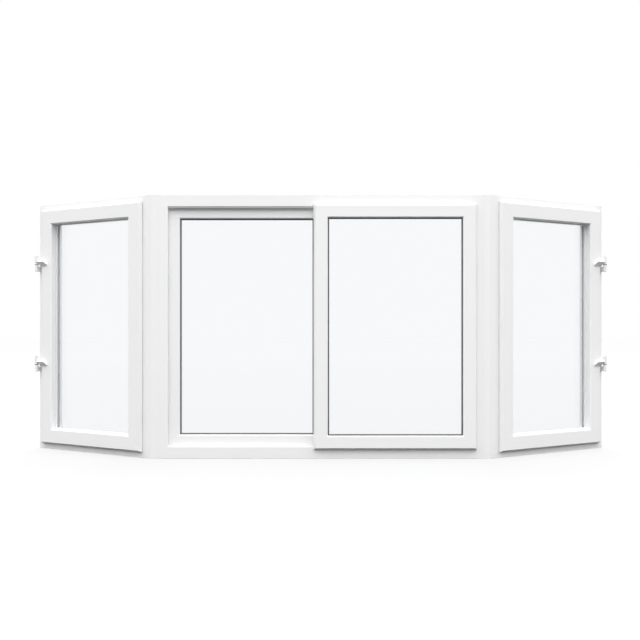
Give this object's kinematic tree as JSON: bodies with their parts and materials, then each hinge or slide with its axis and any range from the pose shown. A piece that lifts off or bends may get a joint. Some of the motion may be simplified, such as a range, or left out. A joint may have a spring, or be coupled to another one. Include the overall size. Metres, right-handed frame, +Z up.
{
  "type": "bay window",
  "caption": "Three-sided white bay window: a wide centre frame with horizontal sliding sashes between two angled side frames with hinged casements.",
  "frame": {"origin": "middle of the underside of the centre frame, at the sill seat", "axes": "+Z up, +X along the centre frame, the street on the -Y side"},
  "size_m": [2.8156, 0.4389, 1.2],
  "materials": {
    "upvc": "smooth satin white",
    "glass": "clear float glass",
    "gasket": "matt grey",
    "pale_gasket": "matt pale grey",
    "spacer": "mill finish",
    "track": "satin anodised",
    "hinge": "white powder coat",
    "hinge_pin": "plain steel",
    "handle": "white powder coat"
  },
  "bodies": {
    "root": {"centre_frame_head": "upvc", "centre_frame_jambs": "upvc", "centre_frame_sill": "upvc", "head_tracks": "track", "inner_post_covers": "upvc", "left_casement_beads": "upvc", "left_casement_gasket": "pale_gasket", "left_casement_glass": "glass", "left_casement_handle": "handle", "left_casement_hinge_flags": "hinge", "left_casement_hinge_frame_leaves": "hinge", "left_casement_hinge_pins": "hinge_pin", "left_casement_rails": "upvc", "left_casement_spacer": "spacer", "left_casement_stiles": "upvc", "left_corner_post": "upvc", "left_frame_head": "upvc", "left_frame_jambs": "upvc", "left_frame_sill": "upvc", "outer_post_covers": "upvc", "recessed_sash_beads": "upvc", "recessed_sash_gasket": "gasket", "recessed_sash_glass": "glass", "recessed_sash_rails": "upvc", "recessed_sash_spacer": "spacer", "recessed_sash_stiles": "upvc", "right_casement_beads": "upvc", "right_casement_gasket": "pale_gasket", "right_casement_glass": "glass", "right_casement_handle": "handle", "right_casement_hinge_flags": "hinge", "right_casement_hinge_frame_leaves": "hinge", "right_casement_hinge_pins": "hinge_pin", "right_casement_rails": "upvc", "right_casement_spacer": "spacer", "right_casement_stiles": "upvc", "right_corner_post": "upvc", "right_frame_head": "upvc", "right_frame_jambs": "upvc", "right_frame_sill": "upvc", "sill_tracks": "track", "sliding_sash_beads": "upvc", "sliding_sash_gasket": "gasket", "sliding_sash_glass": "glass", "sliding_sash_pull": "handle", "sliding_sash_rails": "upvc", "sliding_sash_spacer": "spacer", "sliding_sash_stiles": "upvc"}
  },
  "joints": []
}
